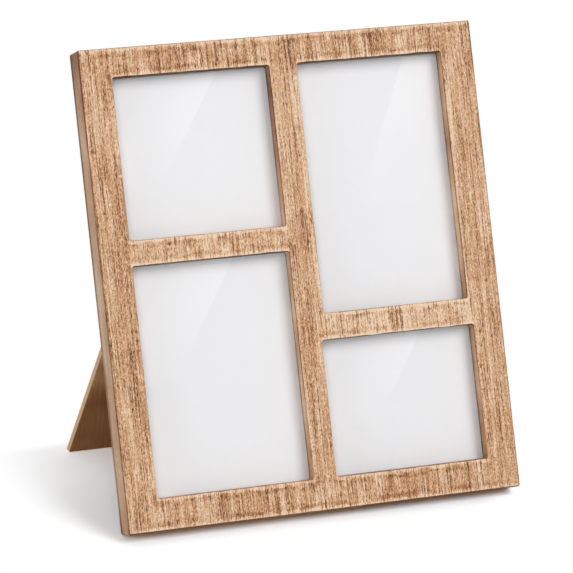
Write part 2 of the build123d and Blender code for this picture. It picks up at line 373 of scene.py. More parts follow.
def buildBoard(finish):
    bm = bmesh.new()
    bm.from_mesh(nodes["frame_body"].data)
    for name in board["marks"]:
        bm.verts.layers.float.new(name)
    bmesh.ops.remove_doubles(bm, verts=bm.verts, dist=touching)
    markBare(bm)
    depth = {vert: frontPlane - vert.co.dot(faceOut) for vert in bm.verts}
    walls = [face for face in bm.faces if abs(face.normal.dot(faceOut)) < board["wallTilt"]]
    ease = min(depth[vert] for face in walls for vert in face.verts)
    front = [face for face in bm.faces if max(depth[vert] for vert in face.verts) < ease + touching]
    bmesh.ops.delete(bm, geom=front, context="FACES")
    for edge in [edge for edge in bm.edges if edge.is_boundary]:
        cuts = math.ceil(edge.calc_length() / board["edgeStep"]) - 1
        if cuts > 0:
            bmesh.ops.bisect_edges(bm, edges=[edge], cuts=cuts)
    bm.normal_update()
    bare = findLoops(bm)
    rim = max(bare, key=len)
    loops = [wearEdge(bm, loop, ease, loop is rim) for loop in bare]
    verts, windows, outer = fillFace(bm, loops)
    markFace(bm, loops, verts, windows, outer)
    pressRipple(bm, verts)
    bmesh.ops.triangulate(bm, faces=[face for face in bm.faces if len(face.verts) > 4])
    bmesh.ops.recalc_face_normals(bm, faces=bm.faces)
    mesh = bpy.data.meshes.new("wornBoard")
    bm.to_mesh(mesh)
    openEdges = sum(not edge.is_manifold for edge in bm.edges)
    bm.free()
    smoothFaces(mesh, board["smoothAngle"])
    mesh.materials.append(finish)
    made = linkObject("wornBoard", mesh)
    made.modifiers.new("evenNormals", "WEIGHTED_NORMAL").keep_sharp = True
    plain = plainMesh(made)
    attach(made, "frame")
    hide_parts("frame_body")
    print("board:", len(loops), "edges worn,", len(plain.polygons), "faces,", openEdges, "open")


# What the finishes share

def weightedSum(tree, start, *shares):
    # a start, and each value times its weight on top
    for value, weight in shares:
        start = addNode(tree, "ShaderNodeMath", {0: value, 1: weight, 2: start}, operation="MULTIPLY_ADD")
    return start


def millimetres(tree, turn=0.0, start=0.0):
    # object coordinates in millimetres, turned to lie along a leaning board
    place = addNode(tree, "ShaderNodeTexCoord").outputs["Object"]
    return addNode(tree, "ShaderNodeMapping", {
        "Vector": place, "Location": (0, start, 0), "Rotation": (turn, 0, 0),
        "Scale": (1 / mm, 1 / mm, 1 / mm)})


def boardSpace(tree):
    # across, into the board and up its face
    return millimetres(tree, lean, frontPlane / mm)


def spotted(tree, place, sizes, values, start=0.0, turn=0.0):
    # noise with spots of these sizes in millimetres across, into and up a board
    scaled = addNode(tree, "ShaderNodeMapping", {
        "Vector": place, "Location": (start, start, start), "Rotation": (0, turn, 0),
        "Scale": [1 / size for size in sizes]})
    return addNode(tree, "ShaderNodeTexNoise", {"Vector": scaled, "Scale": 1.0, **values})


def finishSurface(material, look, colour, pattern, height=None, more=None):
    # a pattern can shift the roughness, from and to the values of the look, and is pressed in by its bump
    tree = material.node_tree
    values = {"Base Color": colour, "Roughness": look["rough"], **(more or {})}
    if isinstance(look["rough"], tuple):
        low, high, smooth, dull = look["rough"]
        values["Roughness"] = addNode(tree, "ShaderNodeMapRange", {
            "Value": pattern, "From Min": low, "From Max": high, "To Min": smooth, "To Max": dull})
    if "bump" in look:
        strength, depth = look["bump"]
        values["Normal"] = addNode(tree, "ShaderNodeBump", {
            "Height": height or pattern, "Strength": strength, "Distance": depth})
    shader = addNode(tree, "ShaderNodeBsdfPrincipled", values)
    addNode(tree, "ShaderNodeOutputMaterial", {"Surface": shader})
    return material


# Fibreboard under a printed wood-grain film, rubbed back along its edges: matt tan, streaked up the
# face with brown pores, stained heavier on the rails, pale on the worn front edges and brown behind them,
# partly as painted shade

grainPrint = {
    "stops": ((0.00, "#68422A"), (0.22, "#966440"), (0.42, "#BA865B"), (0.56, "#CA9D77"),
              (0.74, "#D8AF8A"), (1.00, "#EDD2B6")),
    # sizes in millimetres across, into and up the board, octaves, roughness, and a start in the noise;
    # printed pores are finer, and drawn as wide as they need to show
    "layers": {
        "pore": (0.65, 0.65, 3.0, 1.0, 0.6, 0.0),
        "fleck": (0.65, 0.65, 4.0, 1.0, 0.6, 31.7),
        "line": (0.70, 0.70, 36.0, 2.0, 0.6, 63.4),
        "patch": (8.0, 8.0, 20.0, 2.0, 0.6, 95.1),
        "speckle": (0.65, 0.65, 1.3, 1.0, 0.6, 126.8),
        "streak": (1.2, 1.2, 60.0, 2.0, 0.6, 158.5),
        "blotch": (5.5, 5.5, 26.0, 2.0, 0.6, 190.2),
        "cloud": (18.0, 18.0, 24.0, 2.0, 0.6, 221.9),
        "stain": (30.0, 30.0, 50.0, 2.0, 0.6, 2045.47),
        "shake": (1.5, 1.5, 1.5, 2.0, 0.5, 0.0),
        "worn": (7.0, 7.0, 7.0, 3.0, 0.5, 0.0),
        "glaze": (12.0, 5.0, 5.0, 3.0, 0.5, 11.0),
    },
    "bothWays": ("pore", "fleck", "line", "speckle", "streak", "blotch", "cloud", "stain"),
    "weights": {"streak": 0.66, "speckle": 1.30, "blotch": 0.42, "cloud": 0.38},
    "railBlotch": 0.45,                         # how much more the blotches weigh on a rail
    "dashes": {"pore": (1.2, -0.58), "fleck": (-1.2, 0.31)},    # share of the long lines, and weight
    "dashRange": (0.03, 0.22),
    "midTone": 0.59, "crossTone": 0.09,
    "turnRange": (0.60, 0.85), "turnShake": 0.5,
    "underShadeTurn": 0.36, "sideTurn": 0.35,        # painted shade: an underside, and partly the board's sides, turn brown sooner
    "wallContrast": 0.35, "wallTone": 0.76, "wallStain": 1.2,
    "windowShade": 0.19, "windowStain": 1.0,     # how much darker the windows' walls are, as painted shade in the recess, and how much more stained
    "fades": {                                  # from where to where, and the values there
        "patch": (0.38, 0.58, 0.45, 1.0),
        "glaze": (0.42, 0.62, 0.0, 0.25),
        "glazeIn": (1.2, 2.2, 0.0, 1.0),        # millimetres from a rail's edge
        "glazeOut": (3.0, 5.5, 1.0, 0.0),
        "paneShade": (6.5, 8.6, 0.0, -0.45),       # depths where the windows' walls darken to the pane: painted shade in the recess's corner
        "back": (boardDepth / mm - 6.0, boardDepth / mm - 3.5, 0.0, -0.55),
        "rubbed": (boardFoot / mm + 40.0, boardFoot / mm + 85.0, -0.70, -0.15),     # by height: the line beside the windows fades low down
    },
    "wornRange": (0.40, 0.65), "wornReach": (1.0, 3.6), "wornFrom": 0.3,
    "wornWeights": {"edgeDistance": 0.02, "railEdge": 0.28},
    "lineWeight": 0.60, "lineDepths": (0.9, 2.4),
    "sideShift": 0.8,                           # on the board's sides the line lies on the rolled edge, partly as painted shade
    "underShade": 0.20, "underShadeHeld": 0.85,     # and on an underside it is darker and runs on: painted shade under the edge
    "topShade": 0.50, "topReach": 48.0,         # the sides are darker at their top
    "bare": ("#A27C55", "#C09A70"),
    "rough": (0.3, 0.7, 0.52, 0.68),
    "bump": (0.5, 0.07 * mm),
    "specular": 0.3,
}


def printedGrain():
    look = grainPrint
    material, tree = newMaterial("fibreboard, wood-grain film, rubbed edges")
    place = boardSpace(tree)
    axes = addNode(tree, "ShaderNodeSeparateXYZ", {"Vector": place}).outputs
    depth, up = axes["Y"], axes["Z"]
    marks = {}
    for name in board["marks"]:
        marks[name] = addNode(tree, "ShaderNodeAttribute", attribute_name=name).outputs["Fac"]
    layers = {}
    for name, (*sizes, octaves, rough, start) in look["layers"].items():
        layers[name] = spotted(tree, place, sizes, {"Detail": octaves, "Roughness": rough}, start)
    centred = {}        # noise lies about one half, so it is shifted where it works both ways
    for name in look["bothWays"]:
        centred[name] = addNode(tree, "ShaderNodeMath", {0: layers[name], 1: 0.5}, operation="SUBTRACT")
    reads = {"patch": layers["patch"], "glaze": layers["glaze"], "glazeIn": marks["railEdge"],
             "glazeOut": marks["railEdge"], "paneShade": depth, "back": depth, "rubbed": up}
    fades = {}
    for name, source in reads.items():
        low, high, before, after = look["fades"][name]
        fades[name] = addNode(tree, "ShaderNodeMapRange", {
            "Value": source, "From Min": low, "From Max": high, "To Min": before, "To Max": after},
            interpolation_type="SMOOTHSTEP")

    # pores stand in long lines up the face, broken into dashes and rubbed out in patches
    railBlotch = addNode(tree, "ShaderNodeMath", {
        0: marks["rail"], 1: look["railBlotch"]}, operation="MULTIPLY")
    shares = [(marks["crossRail"], look["crossTone"]), (centred["blotch"], railBlotch)]
    shares += [(centred[name], weight) for name, weight in look["weights"].items()]
    for name, (lineShare, weight) in look["dashes"].items():
        broken = weightedSum(tree, centred[name], (centred["line"], lineShare))
        dash = addNode(tree, "ShaderNodeMapRange", {
            "Value": broken, "From Min": look["dashRange"][0], "From Max": look["dashRange"][1],
            "To Max": weight}, interpolation_type="SMOOTHSTEP")
        shares.append((dash, fades["patch"]))
    grain = weightedSum(tree, 0.0, *shares)

    # where the edge has turned away from the face, the grain is faint on a tone of its own
    # painted shade: undersides, and partly the board's sides, take the wall's tone and brown line sooner on
    # the rolled edge
    turn = weightedSum(tree, marks["edgeTurn"], (marks["underside"], -look["underShadeTurn"]),
                       (marks["outerSide"], -look["sideTurn"]), (layers["shake"], look["turnShake"]))
    wall = addNode(tree, "ShaderNodeMapRange", {
        "Value": turn, "From Min": look["turnRange"][0], "From Max": look["turnRange"][1],
        "To Min": 1.0, "To Max": 0.0}, interpolation_type="SMOOTHSTEP")
    face = addNode(tree, "ShaderNodeMath", {0: 1.0, 1: wall}, operation="SUBTRACT")
    contrast = addNode(tree, "ShaderNodeMapRange", {
        "Value": wall, "To Min": 1.0, "To Max": look["wallContrast"]})
    stained = weightedSum(tree, look["wallStain"], (marks["windowWall"], look["windowStain"]))
    # painted shade: the windows' walls are darker than the board's sides
    wallTone = weightedSum(tree, look["wallTone"], (marks["windowWall"], -look["windowShade"]),
                           (centred["stain"], stained))
    level = addNode(tree, "ShaderNodeMapRange", {
        "Value": wall, "To Min": look["midTone"], "To Max": wallTone})

    # stain left in a smudged line beside the rails' edges
    glaze = face
    for name in ("glaze", "glazeIn", "glazeOut"):
        glaze = addNode(tree, "ShaderNodeMath", {0: glaze, 1: fades[name]}, operation="MULTIPLY")
    # painted shade: the windows' walls darken towards the pane
    shares = [(grain, contrast), (glaze, -1.0), (fades["paneShade"], marks["windowWall"]), (fades["back"], 1.0)]

    # pale film left on the rubbed edges
    reach = addNode(tree, "ShaderNodeMapRange", {
        "Value": layers["worn"], "From Min": look["wornRange"][0], "From Max": look["wornRange"][1],
        "To Min": look["wornReach"][0], "To Max": look["wornReach"][1]})
    for name, weight in look["wornWeights"].items():
        worn = addNode(tree, "ShaderNodeMapRange", {
            "Value": marks[name], "From Min": look["wornFrom"], "From Max": reach,
            "To Min": weight, "To Max": 0.0}, interpolation_type="SMOOTHSTEP")
        shares.append((worn, face))

    # a brown line behind the front edge, partly where the film ends and partly painted shade, fainter low
    # down beside the windows
    lineDepth = weightedSum(tree, depth, (marks["outerSide"], look["sideShift"]))
    line = addNode(tree, "ShaderNodeMapRange", {
        "Value": lineDepth, "From Min": look["lineDepths"][0], "From Max": look["lineDepths"][1],
        # painted shade: on an underside the line is darker and holds on to the pane
        "To Min": weightedSum(tree, -look["lineWeight"], (marks["underside"], -look["underShade"])),
        "To Max": weightedSum(tree, 0.0, (marks["underside"], -look["underShadeHeld"]))},
        interpolation_type="SMOOTHSTEP")
    lineLeft = weightedSum(tree, 1.0, (fades["rubbed"], marks["windowSide"]))
    line = addNode(tree, "ShaderNodeMath", {0: line, 1: lineLeft}, operation="MULTIPLY")
    top = addNode(tree, "ShaderNodeMapRange", {
        "Value": up, "From Min": boardTop / mm - look["topReach"], "From Max": boardTop / mm,
        "To Max": -look["topShade"]})
    tone = weightedSum(tree, level, *shares, (line, wall), (top, marks["outerSide"]))

    colour = fillRamp(addNode(tree, "ShaderNodeValToRGB", {"Fac": tone}), look["stops"])
    bare = addNode(tree, "ShaderNodeMix", {
        "Factor": layers["speckle"], 6: linear(look["bare"][0]), 7: linear(look["bare"][1])},
        data_type="RGBA")
    shown = addNode(tree, "ShaderNodeMix", {"Factor": marks["bare"], 6: colour, 7: bare}, data_type="RGBA")
    return finishSurface(material, look, shown, layers["pore"], tone,
                         {"Specular IOR Level": look["specular"]})


buildBoard(printedGrain())


# Finishes of the pieces that keep their solids

paneGlass = {"colour": "#FDFDFE", "rough": 0.0, "ior": 1.52}


def floatGlass():
    # clear float glass, polished by its own melt: sharp pale reflections and no grain
    look = paneGlass
    material, tree = newMaterial("float glass, fire polished")
    mixed = addNode(tree, "ShaderNodeBsdfPrincipled", {
        "Base Color": linear(look["colour"]), "Roughness": look["rough"], "IOR": look["ior"],
        "Transmission Weight": 1.0})
    clear = addNode(tree, "ShaderNodeBsdfTransparent")
    path = addNode(tree, "ShaderNodeLightPath").outputs
    for ray in ("Is Diffuse Ray", "Is Shadow Ray"):     # what lights the print crosses the pane straight
        mixed = addNode(tree, "ShaderNodeMixShader", {0: path[ray], 1: mixed, 2: clear})
    addNode(tree, "ShaderNodeOutputMaterial", {"Surface": mixed})
    return material


blankPrint = {
    "colours": ("#EAEAEB", "#F0F0F1"),
    "mottle": 2.5,          # millimetres; the coating's own is finer than the picture shows
    "rough": 0.55,
}


def coatedPaper():
    # blank print paper, coated and calendered: near white and satin, with a faint mottle
    look = blankPrint
    material, tree = newMaterial("print paper, coated and calendered")
    mottle = spotted(tree, boardSpace(tree), [look["mottle"]] * 3, {"Detail": 3.0})
    colour = addNode(tree, "ShaderNodeMix", {
        "Factor": mottle, 6: linear(look["colours"][0]), 7: linear(look["colours"][1])}, data_type="RGBA")
    return finishSurface(material, look, colour, mottle)


fillerPad = {
    "colours": ("#8A6B48", "#B4936A"),
    "flute": 3.2,           # millimetres from crest to crest
    "fluteWander": 0.4,
    "fluteShare": 0.25,
    "fibre": (3.0, 0.5, 0.5),
    "rough": 0.85,
    "bump": (0.4, 0.1 * mm),
}


def corrugatedKraft():
    # corrugated kraft board: dull brown liner, fibrous, with the flutes just showing through
    look = fillerPad
    material, tree = newMaterial("kraft board, corrugated")
    place = boardSpace(tree)
    turns = 2 * math.pi / look["flute"] / 20        # the wave node makes 20 radians of each unit
    flutes = addNode(tree, "ShaderNodeTexWave", {
        "Vector": place, "Scale": turns, "Distortion": look["fluteWander"]}, bands_direction="Z")
    fibre = spotted(tree, place, look["fibre"], {"Detail": 3.0})
    share = weightedSum(tree, fibre, (flutes.outputs["Fac"], look["fluteShare"]))
    colour = addNode(tree, "ShaderNodeMix", {
        "Factor": share, 6: linear(look["colours"][0]), 7: linear(look["colours"][1])}, data_type="RGBA")
    return finishSurface(material, look, colour, share)


backBoard = {
    "stops": ((0.28, "#4E3420"), (0.50, "#6B4930"), (0.74, "#855F42")),
    "fibre": (5.0, 0.9, 0.9),       # millimetres; drawn about twice as coarse as pressed fibre, to show
    "fibreTurn": 0.6,
    "mottle": 16.0,
    "mottleShare": 0.35,
    "bend": 9.0,                    # millimetres that the mottle shifts the fibres, which lie every way
    "rough": (0.3, 0.7, 0.42, 0.60),
    "bump": (0.5, 0.05 * mm),
}


def pressedHardboard():
    # hardboard, hot pressed and oil tempered: dark brown with a dull sheen, flecked with matted fibre
    look = backBoard
    material, tree = newMaterial("hardboard, pressed and tempered")
    place = boardSpace(tree)
    mottle = spotted(tree, place, [look["mottle"]] * 3, {"Detail": 2.0})
    lay = addNode(tree, "ShaderNodeVectorMath", {
        0: mottle.outputs["Color"], 1: [look["bend"]] * 3, 2: place}, operation="MULTIPLY_ADD")
    fibre = spotted(tree, lay, look["fibre"], {"Detail": 4.0, "Roughness": 0.65}, turn=look["fibreTurn"])
    share = addNode(tree, "ShaderNodeMix", {0: look["mottleShare"], 2: fibre, 3: mottle})
    colour = fillRamp(addNode(tree, "ShaderNodeValToRGB", {"Fac": share}), look["stops"])
    return finishSurface(material, look, colour, fibre)


legOut = max(nodes["easel_leg"].data.polygons, key=lambda face: face.area).normal.copy()
if legOut.y < 0:
    legOut.negate()

standBoard = {
    "stops": ((0.15, "#74461F"), (0.42, "#92602F"), (0.66, "#B8895E"), (0.95, "#E2B68A")),
    "cut": ("#DCA97F", "#F6CDA4"),
    "grain": (1.4, 1.4, 26.0),      # millimetres
    "grainWander": 0.3,
    "blotch": 22.0,
    "blotchShare": 0.45,
    "legShadeToLight": (14.0, 36.0, -0.16, 0.15),      # painted shade low on the leg and painted light up it, between these heights
    "broad": (0.70, 0.92),          # how square to the broad faces a face is stained
    "rough": (0.3, 0.7, 0.50, 0.66),
    "bump": (0.5, 0.06 * mm),
}


def stainedLeg():
    # fibreboard stained brown on its broad faces and sawn after: dark wiped grain, pale raw edges
    look = standBoard
    material, tree = newMaterial("fibreboard, stained and sawn")
    place = millimetres(tree, -math.asin(legOut.z))     # across, out of the leg and up it
    grain = spotted(tree, place, look["grain"], {
        "Detail": 4.0, "Roughness": 0.6, "Distortion": look["grainWander"]})
    blotch = spotted(tree, place, [look["blotch"]] * 3, {"Detail": 2.0})
    share = addNode(tree, "ShaderNodeMix", {0: look["blotchShare"], 2: grain, 3: blotch})
    up = addNode(tree, "ShaderNodeSeparateXYZ", {"Vector": place}).outputs["Z"]
    # painted shade near the floor, turning to painted light up the leg
    low, high, dark, pale = look["legShadeToLight"]
    legShadeToLight = addNode(tree, "ShaderNodeMapRange", {
        "Value": up, "From Min": low, "From Max": high, "To Min": dark, "To Max": pale},
        interpolation_type="SMOOTHSTEP")
    tone = addNode(tree, "ShaderNodeMath", {0: share, 1: legShadeToLight}, operation="ADD")
    stained = fillRamp(addNode(tree, "ShaderNodeValToRGB", {"Fac": tone}), look["stops"])
    raw = addNode(tree, "ShaderNodeMix", {
        "Factor": grain, 6: linear(look["cut"][0]), 7: linear(look["cut"][1])}, data_type="RGBA")
    normal = addNode(tree, "ShaderNodeTexCoord").outputs["Normal"]
    flat = addNode(tree, "ShaderNodeVectorMath", {0: normal, 1: tuple(legOut)}, operation="DOT_PRODUCT")
    flat = addNode(tree, "ShaderNodeMath", {0: flat}, operation="ABSOLUTE")
    broad = addNode(tree, "ShaderNodeMapRange", {
        "Value": flat, "From Min": look["broad"][0], "From Max": look["broad"][1]},
        interpolation_type="SMOOTHSTEP")
    colour = addNode(tree, "ShaderNodeMix", {"Factor": broad, 6: raw, 7: stained}, data_type="RGBA")
    return finishSurface(material, look, colour, grain)


zincPlate = {
    "stops": ((0.30, "#A9ABAC"), (0.55, "#BFC1C1"), (0.75, "#CDCECC")),
    "cloud": 4.0,           # millimetres
    "scratch": (0.35, 0.35, 7.0),
    "scratchTurn": 0.5,
    "scratchShare": 0.5,
    "rough": (0.35, 0.65, 0.30, 0.50),
    "bump": (0.4, 0.01 * mm),
}


def zincSheet():
    # sheet steel, pressed and zinc plated: pale grey metal, clouded, with fine rubbed scratches
    look = zincPlate
    material, tree = newMaterial("sheet steel, zinc plated")
    place = millimetres(tree, lean)
    cloud = spotted(tree, place, [look["cloud"]] * 3, {"Detail": 3.0})
    scratch = spotted(tree, place, look["scratch"], {"Detail": 2.0}, turn=look["scratchTurn"])
    colour = fillRamp(addNode(tree, "ShaderNodeValToRGB", {"Fac": cloud}), look["stops"])
    share = addNode(tree, "ShaderNodeMix", {0: look["scratchShare"], 2: cloud, 3: scratch})
    return finishSurface(material, look, colour, share, scratch, {"Metallic": 1.0})


rivetWire = {
    "colours": ("#8F9193", "#B4B5B5"),
    "dint": 1.2,            # millimetres
    "rough": (0.3, 0.7, 0.28, 0.46),
    "bump": (0.3, 0.03 * mm),
}


def headedSteel():
    # steel wire, cold headed and barrel plated: duller grey than the sheet, lightly dinted all over
    look = rivetWire
    material, tree = newMaterial("steel wire, cold headed and plated")
    dints = spotted(tree, millimetres(tree), [look["dint"]] * 3, {"Detail": 2.0})
    colour = addNode(tree, "ShaderNodeMix", {
        "Factor": dints, 6: linear(look["colours"][0]), 7: linear(look["colours"][1])}, data_type="RGBA")
    return finishSurface(material, look, colour, dints, more={"Metallic": 1.0})


zinc = zincSheet()
rivetSteel = headedSteel()
looks = {                   # by the start of a node's name
    "glass_": floatGlass(),
    "card_": coatedPaper(),
    "pad_": corrugatedKraft(),
    "back_panel": pressedHardboard(),
    "easel_leg": stainedLeg(),
    "hinge_pin": rivetSteel,
    "hinge_": zinc,
    "turn_button": zinc,
}
for name, node in nodes.items():
    finish = next((looks[start] for start in looks if name.startswith(start)), None)
    if finish:
        node.data.materials.clear()
        node.data.materials.append(finish)
print("finishes:", len(set(looks.values())), "on the solids")


# Screws and rivets: one tree sets a domed head and a shank on every centre

screwSizes = {"Head Radius": 2.7 * mm, "Head Height": 1.2 * mm, "Shank Radius": 1.5 * mm,
              "Crossed": True, "Slot Width": 0.7 * mm, "Slot Length": 3.2 * mm, "Slot Depth": 0.6 * mm}
rivetSizes = {"Head Radius": 2.8 * mm, "Head Height": 1.0 * mm, "Shank Radius": 1.5 * mm, "Crossed": False}
fasteners = {
    "slottedScrews": {
        "node": "turn_button_screws", "body": "frame", "slot": "zinc_steel", "axis": -faceOut,
        "sizes": screwSizes, "finish": zinc, "seed": 3},
    "bracketRivetHeads": {
        "node": "bracket_rivets", "body": "frame", "slot": "rivet_steel", "axis": -faceOut,
        "sizes": rivetSizes, "finish": rivetSteel, "seed": 5},
    "legRivetHeads": {
        "node": "leg_rivets", "body": "leg", "slot": "rivet_steel", "axis": legOut,
        "sizes": rivetSizes, "finish": rivetSteel, "seed": 7},
}
headShape = {"segments": 28, "rings": 14, "crown": 0.5, "smoothAngle": 32}
fastenerInputs = {
    "Centres": "Geometry", "Axis": "Vector", "Head Radius": "Float", "Head Height": "Float",
    "Shank Radius": "Float", "Shank Length": "Float", "Crossed": "Bool", "Slot Width": "Float",
    "Slot Length": "Float", "Slot Depth": "Float", "Seed": "Int", "Finish": "Material",
}


def fastenerTree():
    tree = bpy.data.node_groups.new("domedFasteners", "GeometryNodeTree")
    sockets = {}
    for name, kind in fastenerInputs.items():
        made = tree.interface.new_socket(name, in_out="INPUT", socket_type="NodeSocket" + kind)
        sockets[name] = made.identifier
    tree.interface.new_socket("Fasteners", in_out="OUTPUT", socket_type="NodeSocketGeometry")
    given = addNode(tree, "NodeGroupInput").outputs

    # head: a ball whose lower half is flat and whose upper half is crowned
    ball = addNode(tree, "GeometryNodeMeshUVSphere", {
        "Segments": headShape["segments"], "Rings": headShape["rings"], "Radius": 1.0})
    axes = addNode(tree, "ShaderNodeSeparateXYZ", {0: addNode(tree, "GeometryNodeInputPosition")}).outputs
    upper = addNode(tree, "ShaderNodeMath", {0: axes["Z"], 1: 0.0}, operation="MAXIMUM")
    crown = addNode(tree, "ShaderNodeMath", {0: upper, 1: headShape["crown"]}, operation="POWER")
    shaped = addNode(tree, "ShaderNodeCombineXYZ", {0: axes["X"], 1: axes["Y"], 2: crown})
    size = addNode(tree, "ShaderNodeCombineXYZ", {
        0: given["Head Radius"], 1: given["Head Radius"], 2: given["Head Height"]})
    sized = addNode(tree, "ShaderNodeVectorMath", {0: shaped, 1: size}, operation="MULTIPLY")
    head = addNode(tree, "GeometryNodeSetPosition", {"Geometry": ball, "Position": sized})

    # cross slot, cut by two blocks that stand half out of the crown
    twice = addNode(tree, "ShaderNodeMath", {0: given["Slot Depth"], 1: 2.0}, operation="MULTIPLY")
    lift = addNode(tree, "ShaderNodeCombineXYZ", {2: given["Head Height"]})
    slotted = head
    for first, second in (("Slot Width", "Slot Length"), ("Slot Length", "Slot Width")):
        block = addNode(tree, "ShaderNodeCombineXYZ", {0: given[first], 1: given[second], 2: twice})
        cube = addNode(tree, "GeometryNodeMeshCube", {"Size": block})
        cutter = addNode(tree, "GeometryNodeTransform", {"Geometry": cube, "Translation": lift})
        slotted = addNode(tree, "GeometryNodeMeshBoolean", {0: slotted, 1: cutter}, operation="DIFFERENCE")
    chosen = addNode(tree, "GeometryNodeSwitch", {
        "Switch": given["Crossed"], "False": head, "True": slotted}, input_type="GEOMETRY")

    # shank, from under the head
    shank = addNode(tree, "GeometryNodeMeshCylinder", {
        "Vertices": headShape["segments"], "Radius": given["Shank Radius"], "Depth": given["Shank Length"]})
    half = addNode(tree, "ShaderNodeMath", {0: given["Shank Length"], 1: -0.5}, operation="MULTIPLY")
    drop = addNode(tree, "ShaderNodeCombineXYZ", {2: half})
    lowered = addNode(tree, "GeometryNodeTransform", {"Geometry": shank, "Translation": drop})
    whole = addNode(tree, "GeometryNodeJoinGeometry")
    for piece in (chosen, lowered):
        tree.links.new(piece.outputs[0], whole.inputs[0])

    # every fastener stops at its own turn
    spin = addNode(tree, "FunctionNodeRandomValue", {
        2: 0.0, 3: 2 * math.pi, 8: given["Seed"]}, data_type="FLOAT")
    turn = addNode(tree, "FunctionNodeAxisAngleToRotation", {0: (0, 0, 1), 1: spin})
    stand = addNode(tree, "FunctionNodeAlignRotationToVector", {"Vector": given["Axis"]}, axis="Z")
    turned = addNode(tree, "FunctionNodeRotateRotation", {0: stand, 1: turn}, rotation_space="LOCAL")
    placed = addNode(tree, "GeometryNodeInstanceOnPoints", {
        "Points": given["Centres"], "Instance": whole, "Rotation": turned})
    real = addNode(tree, "GeometryNodeRealizeInstances", {0: placed})
    coated = addNode(tree, "GeometryNodeSetMaterial", {0: real, "Material": given["Finish"]})
    addNode(tree, "NodeGroupOutput", {0: coated})
    return tree, sockets


def islandsOf(node):
    bm = bmesh.new()
    bm.from_mesh(nodes[node].data)
    bmesh.ops.remove_doubles(bm, verts=bm.verts, dist=touching)
    found = set()
    islands = []
    for first in bm.verts:      # in the order of the mesh, so that every run gives the same
        if first in found:
            continue
        found.add(first)
        ready = [first]
        island = []
        while ready:
            vert = ready.pop()
            island.append(vert.co.copy())
            for edge in vert.link_edges:
                other = edge.other_vert(vert)
                if other not in found:
                    found.add(other)
                    ready.append(other)
        islands.append(island)
    bm.free()
    return islands


def setFasteners(name, tree, sockets):
    look = fasteners[name]
    axis = look["axis"]
    side = axis.cross(across)
    seats = []
    for island in islandsOf(look["node"]):
        rises = [point.dot(axis) for point in island]
        sides = [point.dot(side) for point in island]
        wide = [point.x for point in island]
        seat = max(rises) - look["sizes"]["Head Height"]
        shankLength = seat - min(rises)
        seats.append(across * (min(wide) + max(wide)) / 2 + side * (min(sides) + max(sides)) / 2
                     + axis * seat)
    points = bpy.data.meshes.new(name)
    points.from_pydata(sorted(seats, key=lambda seat: (seat.z, seat.x)), [], [])
    made = linkObject(name, points)
    modifier = made.modifiers.new("fasteners", "NODES")
    modifier.node_group = tree
    values = {"Axis": axis, "Shank Length": shankLength, "Seed": look["seed"], "Finish": look["finish"]}
    for socket, value in (look["sizes"] | values).items():
        modifier[sockets[socket]] = value
    plain = plainMesh(made)
    smoothFaces(plain, headShape["smoothAngle"])
    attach(made, look["body"])
    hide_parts(look["node"])
    print("fasteners:", name, len(seats), "set,", len(plain.polygons), "faces")


tree, sockets = fastenerTree()
for name in fasteners:
    setFasteners(name, tree, sockets)


# The photograph's view

camera = {
    "azimuth": -18.128,
    "elevation": 18.380,
    "distance": 1.7356,
    "target": (-0.02601, -0.07949, 0.14732),
    "lens": 192.15,
    "sensor": 36.0,
    "pixels": 573,
    "farthest": 50.0,
}


def placeCamera():
    azimuth = math.radians(camera["azimuth"])
    elevation = math.radians(camera["elevation"])
    back = Vector((math.sin(azimuth) * math.cos(elevation),
                   -math.cos(azimuth) * math.cos(elevation),
                   math.sin(elevation)))
    data = bpy.data.cameras.new("camera")
    data.lens = camera["lens"]
    data.sensor_width = camera["sensor"]
    data.clip_end = camera["farthest"]
    made = linkObject("camera", data)
    made.location = Vector(camera["target"]) + back * camera["distance"]
    made.rotation_euler = (-back).to_track_quat("-Z", "Y").to_euler()
    bpy.context.scene.camera = made
    return made


# Floor, lamps and the tall light screens that the panes mirror

studio = {
    "floorSize": 14.0,
    "floorSeen": 2.1,           # share of the light that the camera sees come back off the floor
    "floorBefore": 1.56,        # and before the object, lower, as painted deeper shadow where its shadow is narrow
    "beforeFrom": -0.075, "beforeTo": 0.030,
    "litSlope": 3.0,            # how soon that ends on the key lamp's side, where no shadow falls
    "floorTint": (0.980, 1.00, 1.012),          # a cool cast painted on the floor, against the wood's warm light
    "bounceTint": (1.03, 0.71, 0.49),            # painted warm bounce light: what the wood throws back close under the board
    "bounceReach": (0.004, 0.010),
    "floorGives": 0.75,         # share that the object gets
    "shadowBeside": 0.070,      # the floor glows plain white this far from the object, beside it, painted over its shadow
    "shadowBehind": 0.016,      # and before and behind it
    "shadowSlant": 0.20,        # how much sooner it ends behind
    "worldStrength": 0.33,
    "lampTarget": (0.0, -0.02, 0.10),
    "lamps": {
        "key": {"place": (1.66, -2.84, 2.88), "size": 2.2, "power": 73.0},
        "fill": {"place": (-1.3, -3.5, 1.7), "size": 2.0, "power": 45.0},
        "side": {"place": (-3.5, -1.0, 1.2), "size": 1.6, "power": 20.0},
    },
}


def raysSeen(tree):
    # rays that look at a thing, not those that light one
    path = addNode(tree, "ShaderNodeLightPath").outputs
    seen = path["Is Camera Ray"]
    for ray in ("Is Transmission Ray", "Is Glossy Ray"):
        seen = addNode(tree, "ShaderNodeMath", {0: seen, 1: path[ray]}, operation="MAXIMUM")
    return seen


def farOutside(tree, place, reach, scale=(1, 1, 1)):
    # how far a place on the floor lies outside a rectangle
    none = (0, 0, 0)
    for operation, other in (("SUBTRACT", reach), ("MAXIMUM", none), ("MULTIPLY", scale), ("LENGTH", none)):
        place = addNode(tree, "ShaderNodeVectorMath", {0: place, 1: other}, operation=operation)
    return place


